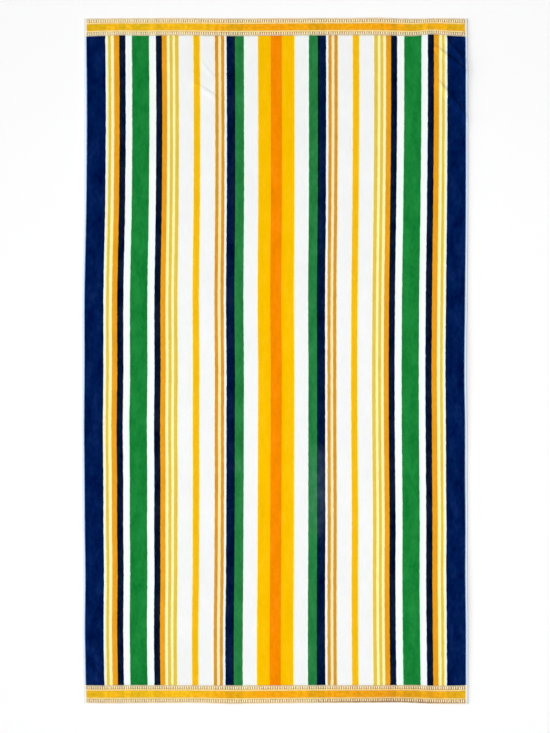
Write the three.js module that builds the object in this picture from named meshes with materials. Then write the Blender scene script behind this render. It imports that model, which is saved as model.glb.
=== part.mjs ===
// A striped beach towel, spread out face up by hand.
// Velour-faced terry with a flat-woven border across each end and a narrow woven selvedge down each
// side. It is woven and hemmed in one piece, so it is one solid.
// Millimetres, +Z up. X runs across the towel, Y runs along it, and its underside rests on Z = 0.

import * as THREE from 'three';

// Size of the cloth before it is spread out
const WIDTH = 1000;
const LENGTH = 1782;
const PILE_THICKNESS = 4.0; // sheared face, ground weave and back loops together

// Thickness over a selvedge, read inwards from the side edge
const SELVEDGE_SECTION = [
  { inward: 0, thickness: 1.4 },
  { inward: 1.5, thickness: 2.4 },
  { inward: 5.5, thickness: 2.4 },
  { inward: 9, thickness: PILE_THICKNESS },
];

// Thickness over an end border, read inwards from the hemmed end: an outer row of ticks, a pale line,
// the gold band, a second pale line and an inner row of ticks
const BORDER_SECTION = [
  { inward: 0, thickness: 1.6 },
  { inward: 1.8, thickness: 2.9 },
  { inward: 11, thickness: 2.9 },
  { inward: 13, thickness: 2.2 },
  { inward: 15, thickness: 2.8 },
  { inward: 31, thickness: 2.8 },
  { inward: 33, thickness: 2.2 },
  { inward: 35, thickness: 2.9 },
  { inward: 45, thickness: 2.9 },
  { inward: 49, thickness: PILE_THICKNESS },
];

// Places across the towel where its sideways wander is charted
const WANDER_PLACES = { left: 0, innerLeft: 125, centre: 500, innerRight: 875, right: WIDTH };

// How far the stripes wander to the right, charted down from the top end
const WANDER = [
  { along: 0, left: 3, innerLeft: 4, centre: 0, innerRight: 4, right: -1 },
  { along: 280, left: 5, innerLeft: 5.5, centre: 0.5, innerRight: 4, right: 1 },
  { along: 475, left: 3.5, innerLeft: 4, centre: 0.5, innerRight: 2, right: 0.5 },
  { along: 735, left: -1.5, innerLeft: -0.5, centre: -1, innerRight: -1.5, right: -1.5 },
  { along: 930, left: -1.5, innerLeft: -0.5, centre: 0.5, innerRight: -2.5, right: -3 },
  { along: 1060, left: -2.5, innerLeft: -2, centre: 0, innerRight: -2, right: -1 },
  { along: 1320, left: -0.5, innerLeft: -1, centre: -1, innerRight: 0, right: 0 },
  { along: 1580, left: 0, innerLeft: -1, centre: -2.5, innerRight: 0.5, right: 1 },
  { along: LENGTH, left: 3, innerLeft: 1.5, centre: -3, innerRight: 2, right: 0.5 },
];

// How far each hemmed end stands out from its straight line, charted from the left side
const END_WAVES = [
  { across: 0, top: -0.5, bottom: 0 },
  { across: 250, top: 1, bottom: -1 },
  { across: 360, top: -1.3, bottom: 1.5 },
  { across: 600, top: 0.8, bottom: -0.4 },
  { across: 760, top: 2.2, bottom: -2 },
  { across: 820, top: -1.5, bottom: -2.8 },
  { across: 900, top: 0, bottom: 0.5 },
  { across: WIDTH, top: -2, bottom: 1.3 },
];
const END_WAVE_REACH = 160; // a wave fades out this far from its end

// Soft creases, each a low ridge from one point to another, measured from the left and the top
const CREASES = [
  { fromAcross: 938, fromAlong: 50, toAcross: 1004, toAlong: 126, bow: 2, height: 2.4, halfWidth: 13 },
  { fromAcross: 914, fromAlong: 78, toAcross: 1012, toAlong: 152, bow: 5, height: 3.0, halfWidth: 14 },
  { fromAcross: 926, fromAlong: 168, toAcross: 1008, toAlong: 276, bow: 4, height: 3.2, halfWidth: 14 },
  { fromAcross: 292, fromAlong: 168, toAcross: 362, toAlong: 216, bow: 3, height: 2.6, halfWidth: 13 },
];

// Places where an edge stays a little off the surface
const EDGE_LIFTS = [
  { across: WIDTH, along: 150, radius: 150, height: 2.0 },
  { across: WIDTH, along: 905, radius: 240, height: 2.2 },
  { across: WIDTH, along: 1520, radius: 220, height: 1.8 },
  { across: 0, along: 330, radius: 200, height: 1.4 },
  { across: 770, along: 0, radius: 110, height: 1.6 },
];

// The woven edges have no loops beneath them, so they stand clear of the surface, and only the four
// corners, where the hem is folded over the selvedge, come down to it
const EDGE_CLEARANCE = 0.5;
const LOOPS_INWARD = { from: 5.5, to: 9 };
const CORNER_REACH = 40;

// Spacing of the grid over plain cloth and over the creases
const OPEN_STEP_ACROSS = 48;
const OPEN_STEP_ALONG = 62;
const CREASE_STEP = 11.5;
const CREASES_ACROSS = [{ from: 288, to: 366 }, { from: 910, to: 991 }];
const CREASES_ALONG = [{ from: 49, to: 278 }];

const COTTON = new THREE.MeshStandardMaterial({ color: 0xf1f2f2, roughness: 0.95, metalness: 0 });

// Reads named columns of a table as smooth curves over one of its columns
function smoothColumns(table, place, columns) {
  const places = table.map((row) => row[place]);
  const values = Float64Array.from(table.flatMap((row) => columns.map((column) => row[column])));
  const curves = new THREE.CubicInterpolant(places, values, columns.length);
  return (at) => Array.from(curves.evaluate(at));
}

// Reads a section's thickness at a distance in from its edge
function sectionThickness(section) {
  const places = section.map((row) => row.inward);
  const values = Float64Array.from(section, (row) => row.thickness);
  const line = new THREE.LinearInterpolant(places, values, 1);
  return (inward) => line.evaluate(inward)[0];
}

// Grid lines over a length: one at each change of the section, and closer ones over the creases
function gridLines(length, section, creaseZones, openStep) {
  const marks = new Set();
  for (const { inward } of section) {
    marks.add(inward);
    marks.add(length - inward);
  }
  for (const { from, to } of creaseZones) {
    marks.add(from);
    marks.add(to);
  }
  const stops = [...marks].sort((a, b) => a - b);
  const lines = [stops[0]];
  for (let i = 1; i < stops.length; i += 1) {
    const start = stops[i - 1];
    const span = stops[i] - start;
    const middle = start + span / 2;
    const creased = creaseZones.some(({ from, to }) => middle > from && middle < to);
    const parts = Math.max(1, Math.round(span / (creased ? CREASE_STEP : openStep)));
    for (let part = 1; part <= parts; part += 1) {
      lines.push(start + (span * part) / parts);
    }
  }
  return lines;
}

const wanderColumns = Object.keys(WANDER_PLACES);
const wanderAlong = smoothColumns(WANDER, 'along', wanderColumns);
const endWaves = smoothColumns(END_WAVES, 'across', ['top', 'bottom']);
const selvedgeThickness = sectionThickness(SELVEDGE_SECTION);
const borderThickness = sectionThickness(BORDER_SECTION);

// Sideways wander at a place: its chart along the towel, then a smooth curve across
function wanderAt(along) {
  const places = Object.values(WANDER_PLACES);
  const curve = new THREE.CubicInterpolant(places, Float64Array.from(wanderAlong(along)), 1);
  return (across) => curve.evaluate(across)[0];
}

// Endwise move of a place, which follows the wave of the nearer end
function endMove(across, along) {
  const [top, bottom] = endWaves(across);
  const fade = (distance) => 1 - THREE.MathUtils.smoothstep(distance, 0, END_WAVE_REACH);
  return top * fade(along) - bottom * fade(LENGTH - along);
}

// Height of one crease's ridge, highest along its bowed line and soft at its sides and ends
function creaseHeight(crease, across, along) {
  const runAcross = crease.toAcross - crease.fromAcross;
  const runAlong = crease.toAlong - crease.fromAlong;
  const length = Math.hypot(runAcross, runAlong);
  const offAcross = across - crease.fromAcross;
  const offAlong = along - crease.fromAlong;
  const share = (offAcross * runAcross + offAlong * runAlong) / (length * length);
  if (share <= 0 || share >= 1) {
    return 0;
  }
  const swell = Math.sin(Math.PI * share);
  const beside = (offAcross * runAlong - offAlong * runAcross) / length - crease.bow * swell;
  const side = Math.min(1, Math.abs(beside) / crease.halfWidth);
  return crease.height * Math.sqrt(swell) * (0.5 + 0.5 * Math.cos(Math.PI * side));
}

// Height of a lifted edge, a soft dome that falls to the surface at its radius
function edgeLift(lift, across, along) {
  const distance = Math.hypot(across - lift.across, along - lift.along);
  return lift.height * (1 - THREE.MathUtils.smoothstep(distance, 0, lift.radius));
}

// How far the woven edge stands clear of the surface, less and less towards a corner
function edgeClearance(across, along) {
  const inAcross = Math.min(across, WIDTH - across);
  const inAlong = Math.min(along, LENGTH - along);
  const loops = THREE.MathUtils.smoothstep(Math.min(inAcross, inAlong), LOOPS_INWARD.from, LOOPS_INWARD.to);
  const fromCorner = Math.min(1, Math.hypot(inAcross, inAlong) / CORNER_REACH);
  return EDGE_CLEARANCE * (1 - loops) * fromCorner;
}

// How far the underside stands off the surface: at rest on it nearly everywhere
function underside(across, along) {
  const ridges = CREASES.map((crease) => creaseHeight(crease, across, along));
  const lifts = EDGE_LIFTS.map((lift) => edgeLift(lift, across, along));
  return Math.max(...ridges) + Math.max(...lifts) + edgeClearance(across, along);
}

// The closed sheet: a grid of the upper face, one of the underside, and the rim between them
function sheetGeometry() {
  const columns = gridLines(WIDTH, SELVEDGE_SECTION, CREASES_ACROSS, OPEN_STEP_ACROSS);
  const rows = gridLines(LENGTH, BORDER_SECTION, CREASES_ALONG, OPEN_STEP_ALONG);
  const upper = [];
  const lower = [];
  for (const along of rows) {
    const wander = wanderAt(along);
    const bandThickness = borderThickness(Math.min(along, LENGTH - along));
    for (const across of columns) {
      const x = across - WIDTH / 2 + wander(across);
      const y = LENGTH / 2 - along + endMove(across, along);
      const floor = underside(across, along);
      const edgeThickness = selvedgeThickness(Math.min(across, WIDTH - across));
      upper.push(x, y, floor + Math.min(bandThickness, edgeThickness));
      lower.push(x, y, floor);
    }
  }

  const faces = [];
  const underFirst = columns.length * rows.length;
  const point = (column, row) => row * columns.length + column;
  for (let row = 0; row + 1 < rows.length; row += 1) {
    for (let column = 0; column + 1 < columns.length; column += 1) {
      const a = point(column, row);
      const b = point(column, row + 1);
      const c = point(column + 1, row + 1);
      const d = point(column + 1, row);
      faces.push(a, b, c, a, c, d);
      faces.push(a + underFirst, c + underFirst, b + underFirst);
      faces.push(a + underFirst, d + underFirst, c + underFirst);
    }
  }

  const lastColumn = columns.length - 1;
  const lastRow = rows.length - 1;
  const rim = [
    ...rows.map((_, row) => point(0, row)),
    ...columns.map((_, column) => point(column, lastRow)).slice(1),
    ...rows.map((_, row) => point(lastColumn, lastRow - row)).slice(1),
    ...columns.map((_, column) => point(lastColumn - column, 0)).slice(1),
  ];
  for (let i = 0; i + 1 < rim.length; i += 1) {
    const here = rim[i];
    const next = rim[i + 1];
    faces.push(here + underFirst, next + underFirst, next);
    faces.push(here + underFirst, next, here);
  }

  const geometry = new THREE.BufferGeometry();
  geometry.setAttribute('position', new THREE.Float32BufferAttribute([...upper, ...lower], 3));
  geometry.setIndex(faces);
  return geometry;
}

// Puts the origin on the surface under the middle of the towel's outline
function centreOnSurface(geometry) {
  geometry.computeBoundingBox();
  const { min, max } = geometry.boundingBox;
  geometry.translate(-(min.x + max.x) / 2, -(min.y + max.y) / 2, -min.z);
  geometry.computeVertexNormals();
  return geometry;
}

const towel = new THREE.Mesh(centreOnSurface(sheetGeometry()), COTTON);
towel.name = 'towel';

const beachTowel = new THREE.Group();
beachTowel.add(towel);

export default beachTowel;
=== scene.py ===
"""A striped beach towel of velour-faced terry, spread out face up and seen from straight above.

The cloth is charted flat: "across" is read from the left selvedge and "along" from the top hem.
Lengths are in millimetres unless a note says metres. LyingCloth says where each place of the flat cloth
lies once it is spread out, and every piece is laid through it, so floats, tufts and stitches stay on
the cloth where it wanders or creases.
"""

from __future__ import annotations

import logging
import math
from collections.abc import Sequence
from dataclasses import dataclass
from enum import Enum, IntEnum
from functools import cache, cached_property, partial, reduce
from typing import Union

import bpy
import numpy as np
from bpy.types import Material, Node, NodeSocket, NodeTree, Object
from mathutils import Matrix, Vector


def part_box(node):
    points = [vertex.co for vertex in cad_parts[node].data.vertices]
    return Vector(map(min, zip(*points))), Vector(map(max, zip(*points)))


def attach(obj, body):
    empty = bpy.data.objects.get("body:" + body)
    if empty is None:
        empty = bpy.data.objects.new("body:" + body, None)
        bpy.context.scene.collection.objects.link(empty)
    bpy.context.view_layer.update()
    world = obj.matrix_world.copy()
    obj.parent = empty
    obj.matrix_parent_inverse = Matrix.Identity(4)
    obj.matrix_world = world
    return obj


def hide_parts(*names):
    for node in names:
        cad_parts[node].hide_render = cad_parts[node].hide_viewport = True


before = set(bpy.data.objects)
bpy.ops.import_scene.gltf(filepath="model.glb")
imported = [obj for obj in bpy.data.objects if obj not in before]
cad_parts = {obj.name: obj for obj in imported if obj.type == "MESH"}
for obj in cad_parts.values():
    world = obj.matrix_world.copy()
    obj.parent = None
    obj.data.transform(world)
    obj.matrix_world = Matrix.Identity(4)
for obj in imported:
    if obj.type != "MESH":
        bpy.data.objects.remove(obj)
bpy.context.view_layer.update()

log = logging.getLogger("beach_towel")

METRES = 0.001
CLOTH_MAP = "cloth"
BODY = "root"
NODE = "towel"

# A screen's curve from a stored share to linear light: straight at its foot, then bent
FULL_CHANNEL = 255
FOOT_END = 0.04045
FOOT_SLOPE = 12.92
BEND_OFFSET = 0.055
BEND = 2.4

# How the eye weighs light
EYE_GAMMA = 2.2
EYE_WEIGHTS = (0.3, 0.59, 0.11)

NO_LIGHT = (0.0, 0.0, 0.0)
MOST_LIGHT = (0.99, 0.99, 0.99)
WHITE_LIGHT = (1.0, 1.0, 1.0, 1.0)

# Middle of a share from 0 to 1, and so the mean of noise
HALF = 0.5

# Setting and sockets of Blender's Mix node when it mixes colours
COLOUR_MIX = {"data_type": "RGBA"}
MIX_SHARE = 0
MIX_FIRST = 6
MIX_SECOND = 7
MIX_BLEND = 2

Value = Union[float, tuple, NodeSocket]
Feeds = dict[Union[str, int], Value]
Settings = dict[str, object]
Faces = list[tuple[int, ...]]
Chart = tuple[tuple[float, ...], ...]


def linear_light(share: float) -> float:
    """Turn a channel's stored share into linear light."""
    bent = ((share + BEND_OFFSET) / (1 + BEND_OFFSET)) ** BEND
    return bent if share > FOOT_END else share / FOOT_SLOPE


class Yarn(Enum):
    """Dyed cotton yarns, and some colours of painted shade and shadow, as red, green and blue from 0 to
    255.
    """

    WHITE = (237, 238, 238)
    CHALK = (240, 244, 242)
    MIST = (222, 240, 255)
    IVORY = (246, 238, 186)
    BUFF = (246, 227, 188)
    NAVY = (0, 25, 76)
    DUSK = (3, 22, 56)
    INK = (7, 20, 46)
    GREEN = (23, 125, 53)
    FERN = (37, 121, 62)
    STRAW = (221, 191, 73)
    AMBER = (227, 155, 30)
    ORANGE = (238, 134, 1)
    GOLD = (242, 186, 4)
    HONEY = (238, 182, 16)
    TAN = (208, 146, 46)
    CREAM = (255, 242, 202)
    PALE = (249, 221, 145)
    WELD = (249, 217, 44)
    MARIGOLD = (248, 177, 24)
    TICK_GROUND = (172, 125, 73)
    GOLD_GROUND = (205, 145, 50)
    INNER_GROUND = (180, 134, 86)
    PILE_FOOT = (216, 200, 164)
    HEM = (252, 236, 206)
    # Tan of the painted shade along the hem's fold
    HEM_FOLD_SHADE = (216, 186, 148)
    SELVEDGE = (226, 240, 255)
    SELVEDGE_INNER = (150, 182, 222)
    # Grey of the painted shade along the selvedge's rim
    SELVEDGE_RIM_SHADE = (214, 218, 228)
    RUBBED = (196, 243, 255)
    # Brown of the painted shade on the bottom border
    PAINTED_SHADE = (190, 105, 45)
    # Dark brown of a painted shadow line under the lifted bottom hem
    PAINTED_SHADOW = (112, 66, 34)
    FADED = (255, 240, 192)
    SELVEDGE_CREAM = (244, 236, 212)
    THREAD = (228, 234, 244)

    @property
    def colour(self) -> tuple[float, ...]:
        """The yarn's colour in linear light, with full alpha."""
        return (*(linear_light(channel / FULL_CHANNEL) for channel in self.value), 1.0)


class SocketKind(Enum):
    """Kinds of socket on a node group."""

    NUMBER = "NodeSocketFloat"
    VECTOR = "NodeSocketVector"
    COLOUR = "NodeSocketColor"


class End(Enum):
    """The towel's two hemmed ends."""

    TOP = "top"
    BOTTOM = "bottom"


class Facing(IntEnum):
    """Which finish a face of the cloth has, in the order of the cloth's finishes."""

    PILE = 0
    BORDER = 1
    SELVEDGE = 2
    BACK = 3


@dataclass(frozen=True)
class Stripe:
    """One lengthwise stripe of the warp: its yarn and its width."""

    yarn: Yarn
    width: float


# Stripes from a selvedge to the middle of the towel, the same on both sides
HALF_STRIPES = (
    Stripe(Yarn.MIST, 2.5),
    Stripe(Yarn.NAVY, 52.3),
    Stripe(Yarn.WHITE, 4.3),
    Stripe(Yarn.IVORY, 3.0),
    Stripe(Yarn.STRAW, 6.8),
    Stripe(Yarn.IVORY, 8.4),
    Stripe(Yarn.AMBER, 13.7),
    Stripe(Yarn.INK, 16.8),
    Stripe(Yarn.CHALK, 17.0),
    Stripe(Yarn.GREEN, 44.6),
    Stripe(Yarn.CHALK, 17.9),
    Stripe(Yarn.INK, 16.1),
    Stripe(Yarn.AMBER, 12.8),
    Stripe(Yarn.IVORY, 7.5),
    Stripe(Yarn.STRAW, 7.6),
    Stripe(Yarn.IVORY, 6.8),
    Stripe(Yarn.STRAW, 9.0),
    Stripe(Yarn.WHITE, 39.2),
    Stripe(Yarn.HONEY, 15.8),
    Stripe(Yarn.WHITE, 40.3),
    Stripe(Yarn.TAN, 8.3),
    Stripe(Yarn.BUFF, 7.2),
    Stripe(Yarn.TAN, 7.8),
    Stripe(Yarn.WHITE, 5.9),
    Stripe(Yarn.DUSK, 21.6),
    Stripe(Yarn.FERN, 22.8),
    Stripe(Yarn.WHITE, 37.8),
    Stripe(Yarn.GOLD, 32.4),
    Stripe(Yarn.ORANGE, 13.8),
)


@dataclass(frozen=True)
class Grain:
    """Soft unevenness: its swells to a millimetre across and along, its swing and its fineness."""

    across: float
    along: float
    size: float = 1.0
    detail: float = 1.0

    @property
    def per_mm(self) -> tuple[float, float]:
        """Its swells to a millimetre, across and along."""
        return (self.across, self.along)


# A stripe's edge: the sway of its warp, and its tufts
EDGE_SWAY = Grain(0.30, 0.06, size=1.5)
EDGE_TUFTS = Grain(0.9, 0.9, size=2.2, detail=2.0)

# How far a dye bleeds into the next stripe, and how much a weaker or stronger one does
DYE_BLEED = 3.2
WEAK_BLEED = 0.12
STRONG_BLEED = 0.38

# The sheared pile, and the share of its relief that is tufts and not streaks
NAP_PATCHES = Grain(0.012, 0.008, size=0.05, detail=2.0)
BRUSH_MARKS = Grain(0.13, 0.07, size=0.6)
BRUSH_SWATHES = Grain(0.04, 0.016, size=0.9)
WARP_STREAKS = Grain(0.42, 0.03, size=0.08)
PILE_TUFTS = Grain(0.85, 0.75, size=0.22, detail=2.0)
TUFT_SHARE = 0.75

# The flat weave: its thick and thin yarn, the shade of over and under, and the relief of thick yarn
WEAVE_SLUBS = Grain(0.5, 0.5, size=0.16, detail=2.0)
WEAVE_SHADE = 0.16
SLUB_RELIEF = 0.3

# A floating yarn: its sheen, and its plies' fineness to a metre, waver and shade
FLOAT_SHEEN = Grain(0.31, 0.31, size=0.22)
PLY_FINENESS = 520.0
PLY_WAVER = 1.5
PLY_SHADE = 0.10

# The back's loops to a millimetre across and along, the shade at their feet and what their rise adds
LOOPS_PER_MM = (0.62, 0.48)
LOOP_FOOT_SHADE = 0.80
LOOP_RISE_SHADE = 0.32

# A rubbed or faded patch, or a patch of painted shade or shadow
PATCH_GRAIN = Grain(0.06, 0.04, detail=2.0)


@dataclass(frozen=True)
class Patch:
    """A soft, uneven patch on the cloth that leans to another colour: rubbed, faded, painted shade or a
    painted shadow.
    """

    yarn: Yarn
    across: float
    along: float
    half_width: float
    half_length: float
    strength: float


# Painted shade on the right half of the bottom border, where it tilts away from the light
PAINTED_HEM_SHADE = (Patch(Yarn.PAINTED_SHADE, 800, 1768, half_width=190, half_length=46, strength=0.2),)
# A painted shadow line under the lifted bottom hem, on the ground beneath its outer ticks
PAINTED_FOLD_SHADOW = (Patch(Yarn.PAINTED_SHADOW, 790, 1776.5, half_width=230, half_length=5.5, strength=0.9),)

# A darker line in the ticks' ground colour across the bottom border, inside its outer ticks
HEM_LINE = (Patch(Yarn.TICK_GROUND, 500, 1771.3, half_width=2000, half_length=1.4, strength=0.7),)

# Where the tick rows of the top border have faded, towards its left corner
FADED_HEM = (
    Patch(Yarn.FADED, 120, 6, half_width=190, half_length=9, strength=0.25),
    Patch(Yarn.FADED, 120, 40, half_width=190, half_length=9, strength=0.25),
)


def smooth_step(share: np.ndarray) -> np.ndarray:
    """Ease a share from 0 to 1, flat at both ends."""
    held = np.clip(share, 0, 1)
    return held * held * (3 - 2 * held)


def straight_curve(chart: Chart, at: np.ndarray) -> np.ndarray:
    """Read a chart of places and values, straight from each place to the next."""
    return np.interp(at, *np.transpose(chart))


def smooth_curve(chart: Chart | np.ndarray, at: np.ndarray) -> np.ndarray:
    """Read a chart as a smooth curve.

    Args:
        chart: Rows of a place and the values there, with rising places.
        at: Where to read it.

    Returns:
        The curve's values, one row for each reading.
    """
    table = np.array(chart, float)
    stops, values = table[:, 0], table[:, 1:]
    slopes = np.gradient(values, stops, axis=0)
    reading = np.clip(at, stops[0], stops[-1])
    first = np.clip(np.searchsorted(stops, reading, side="right") - 1, 0, len(stops) - 2)
    span = (stops[first + 1] - stops[first])[:, None]
    share = (reading - stops[first])[:, None] / span
    ease = smooth_step(share)
    curve = values[first] * (1 - ease) + values[first + 1] * ease
    lead = slopes[first] * share * (1 - share) ** 2 - slopes[first + 1] * share * share * (1 - share)
    return curve + span * lead


def row_of(across: np.ndarray | float, along: np.ndarray | float) -> np.ndarray:
    """Places in a row, where one of the two readings is the same for all."""
    return np.column_stack(np.broadcast_arrays(across, along))


@dataclass(frozen=True)
class Crease:
    """A soft ridge from one place of the cloth to another, bowed, with one side steeper."""

    start: tuple[float, float]
    finish: tuple[float, float]
    bow: float
    height: float
    steep: float
    gentle: float

    def rise(self, across: np.ndarray, along: np.ndarray) -> np.ndarray:
        """Height of the ridge at each place.

        Args:
            across: Places across the cloth.
            along: Places along the cloth.

        Returns:
            Heights, zero off the ridge.
        """
        run_across = self.finish[0] - self.start[0]
        run_along = self.finish[1] - self.start[1]
        length = math.hypot(run_across, run_along)
        off_across = across - self.start[0]
        off_along = along - self.start[1]
        share = np.clip((off_across * run_across + off_along * run_along) / length**2, 0, 1)
        swell = np.sin(np.pi * share)
        beside = (off_across * run_along - off_along * run_across) / length - self.bow * swell
        reach = np.where(beside > 0, self.steep, self.gentle)
        side = np.minimum(1, np.abs(beside) / reach)
        return self.height * np.sqrt(swell) * (0.5 + 0.5 * np.cos(np.pi * side))


@dataclass(frozen=True)
class EdgeLift:
    """A place where an edge of the cloth stays a little off the surface."""

    across: float
    along: float
    radius: float
    height: float

    def rise(self, across: np.ndarray, along: np.ndarray) -> np.ndarray:
        """Height of the lift at each place, zero past its radius."""
        distance = np.hypot(across - self.across, along - self.along)
        return self.height * (1 - smooth_step(distance / self.radius))


@dataclass(frozen=True)
class LyingCloth:
    """The towel as it lies: from a place on the flat cloth to a point in the part's frame."""

    width: float = 1000.0
    length: float = 1782.0
    selvedge_width: float = 6.8
    selvedge_at_border: float = 7.5
    border_depth: float = 45.5
    pile_thickness: float = 4.0

    # Thickness read inwards from a side edge and from a hemmed end
    selvedge_section: Chart = ((0, 1.4), (1.5, 2.4), (5.5, 2.4), (9, 4.0))
    border_section: Chart = (
        (0, 1.6), (1.8, 2.9), (11, 2.9), (13, 2.2), (15, 2.8),
        (31, 2.8), (33, 2.2), (35, 2.9), (45, 2.9), (49, 4.0),
    )

    # Sideways wander of the stripes to the right, charted at seven places across and down the towel
    wander_across: tuple[float, ...] = (0, 125, 300, 500, 750, 875, 1000)
    wander_along: Chart = (
        (0, 3, 4, 1, 0, 3.5, 4.5, -0.5),
        (280, 5, 5.5, 2.5, 0.5, 3.5, 4, 1),
        (475, 3.5, 4, 2, 0.5, 2, 2, 1),
        (735, -1.5, -0.5, -0.5, -1, -1, -1.5, -1),
        (930, -1.5, -0.5, 0.5, 0.5, -2, -2.5, -3),
        (1060, -2.5, -2, 0, 0, -1.5, -2, -1),
        (1190, -1.5, -1, 0.5, -0.5, -0.5, -1, -1),
        (1320, -0.5, -1, 0, -1, 0.5, 0, 0),
        (1450, 1, 0, -0.5, -1.5, 0, -0.5, -0.5),
        (1580, 0, -1, -2, -2.5, 0.5, 0.5, 1),
        (1782, 3, 1.5, -1.5, -2.5, 2.5, 3, 1),
    )

    # How far the weave has drawn the stripes to the right, the same from end to end: across, move
    drawn_aside: Chart = (
        (0, -2.1), (50, -1.4), (76, -2.1), (110, -3.0), (135, -3.1), (170, -2.6),
        (240, -2.3), (290, -1.3), (350, -0.9), (388, 0.5), (414, 1.0), (485, 0.5),
        (515, 2.2), (544, 1.8), (617, 1.1), (648, 1.4), (705, 0.0), (762, -0.1),
        (800, -1.0), (835, -0.8), (871, -0.4), (940, -1.4), (1000, -0.3),
    )

    # How far each hem and each pile edge stands out from its straight line: across, top, bottom
    hem_waves: Chart = (
        (0, -0.4, -1.3), (70, 0.5, -0.5), (150, 0.7, -1.0), (230, 1.5, -1.2), (305, 1.0, -1.2),
        (383, 0.3, 1.1), (460, 0.7, 0.1), (620, 1.5, -1.2), (700, 1.4, -2.0), (760, 1.9, -2.5),
        (800, 0.6, -3.3), (850, -0.4, -1.8), (905, 0.7, 0.3), (1000, -0.1, 1.2),
    )
    pile_waves: Chart = (
        (0, -2.2, -3.2), (48, 0.2, -3.1), (105, 1.5, -3.6), (150, 0.3, -3.7), (200, 1.1, -3.5),
        (395, -0.5, -2.8), (610, 1.2, -3.6), (810, 0.3, -3.7), (852, -0.7, -4.0), (903, 4.0, -2.2),
        (955, 0.1, -2.2), (1000, -2.0, -3.3),
    )
    wave_reach: float = 200.0

    creases: tuple[Crease, ...] = (
        Crease((938, 50), (1004, 126), bow=2, height=3.2, steep=6.5, gentle=16),
        Crease((898, 68), (1014, 154), bow=5, height=3.8, steep=6.5, gentle=18),
        Crease((915, 158), (1008, 276), bow=4, height=4.0, steep=6.5, gentle=18),
        Crease((284, 166), (362, 219), bow=3, height=1.9, steep=5, gentle=18),
        Crease((306, 108), (342, 152), bow=-3, height=0.9, steep=4.5, gentle=12),
        Crease((8, 1606), (58, 1698), bow=3, height=3.0, steep=15, gentle=20),
        Crease((6, 1672), (56, 1746), bow=3, height=3.2, steep=12, gentle=16),
    )
    edge_lifts: tuple[EdgeLift, ...] = (
        EdgeLift(1000, 150, radius=150, height=2.0),
        EdgeLift(1000, 905, radius=240, height=2.2),
        EdgeLift(1000, 1520, radius=220, height=1.8),
        EdgeLift(0, 330, radius=200, height=1.4),
        EdgeLift(770, 0, radius=110, height=1.6),
    )

    # The woven edges have no loops beneath, so they stand clear of the surface except at the corners
    edge_clearance: float = 0.5
    loops_inward: tuple[float, float] = (5.5, 9.0)
    corner_reach: float = 40.0

    # How many places of each side and of each end the outline is measured at
    side_stations: int = 700
    end_stations: int = 400

    def from_side(self, across: np.ndarray) -> np.ndarray:
        """Distance in from the nearer side edge."""
        return np.minimum(across, self.width - across)

    def from_end(self, along: np.ndarray) -> np.ndarray:
        """Distance in from the nearer hemmed end."""
        return np.minimum(along, self.length - along)

    def end_place(self, end: End, inward: float) -> float:
        """Place along the cloth at a distance in from one end."""
        return inward if end is End.TOP else self.length - inward

    def wander(self, across: np.ndarray, along: np.ndarray) -> np.ndarray:
        """Sideways wander at each place.

        Args:
            across: Places across the cloth.
            along: Places along the cloth.

        Returns:
            Moves to the right.
        """
        shares_chart = np.column_stack([self.wander_across, np.eye(len(self.wander_across))])
        shares = smooth_curve(shares_chart, across)
        down = smooth_curve(self.wander_along, along)
        return (down * shares).sum(axis=1) + straight_curve(self.drawn_aside, across)

    def end_move(self, across: np.ndarray, along: np.ndarray) -> np.ndarray:
        """Endwise move at each place: the hem's wave, then the pile edge's, then none.

        Args:
            across: Places across the cloth.
            along: Places along the cloth.

        Returns:
            Moves towards the top end.
        """
        hem = smooth_curve(self.hem_waves, across)
        pile = smooth_curve(self.pile_waves, across)
        inward = np.stack([along, self.length - along], axis=1)
        share = np.clip(inward / self.border_depth, 0, 1)
        fade = 1 - smooth_step((inward - self.border_depth) / (self.wave_reach - self.border_depth))
        outward = (hem * (1 - share) + pile * share) * fade
        return outward[:, 0] - outward[:, 1]

    def underside(self, across: np.ndarray, along: np.ndarray) -> np.ndarray:
        """How far the underside stands off the surface at each place.

        Args:
            across: Places across the cloth.
            along: Places along the cloth.

        Returns:
            Heights.
        """
        ridge = np.max([crease.rise(across, along) for crease in self.creases], axis=0)
        lift = np.max([lift.rise(across, along) for lift in self.edge_lifts], axis=0)
        side, end = self.from_side(across), self.from_end(along)
        first, last = self.loops_inward
        loops = smooth_step((np.minimum(side, end) - first) / (last - first))
        corner = np.minimum(1, np.hypot(side, end) / self.corner_reach)
        return ridge + lift + self.edge_clearance * (1 - loops) * corner

    def thickness(self, across: np.ndarray, along: np.ndarray) -> np.ndarray:
        """Thickness of the cloth at each place."""
        at_side = straight_curve(self.selvedge_section, self.from_side(across))
        return np.minimum(at_side, straight_curve(self.border_section, self.from_end(along)))

    @cached_property
    def centring(self) -> np.ndarray:
        """Move that puts the middle of the lying outline over the middle of the solid.

        Returns:
            The move in X and Y.
        """
        across = np.linspace(0, self.width, self.end_stations)
        along = np.linspace(0, self.length, self.side_stations)
        ends = [row_of(across, place) for place in (0, self.length)]
        sides = [row_of(place, along) for place in (0, self.width)]
        outline = self.spread(*np.concatenate(ends + sides).T)
        low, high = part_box(NODE)
        middle = np.array([(low.x + high.x) / 2, (low.y + high.y) / 2]) / METRES
        return middle - (outline.min(axis=0) + outline.max(axis=0)) / 2

    def spread(self, across: np.ndarray, along: np.ndarray) -> np.ndarray:
        """Each place once the cloth is spread out, before it is centred.

        Args:
            across: Places across the cloth.
            along: Places along the cloth.

        Returns:
            X and Y, one row for each place.
        """
        x = across - self.width / 2 + self.wander(across, along)
        y = self.length / 2 - along + self.end_move(across, along)
        return np.stack([x, y], axis=1)

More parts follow.
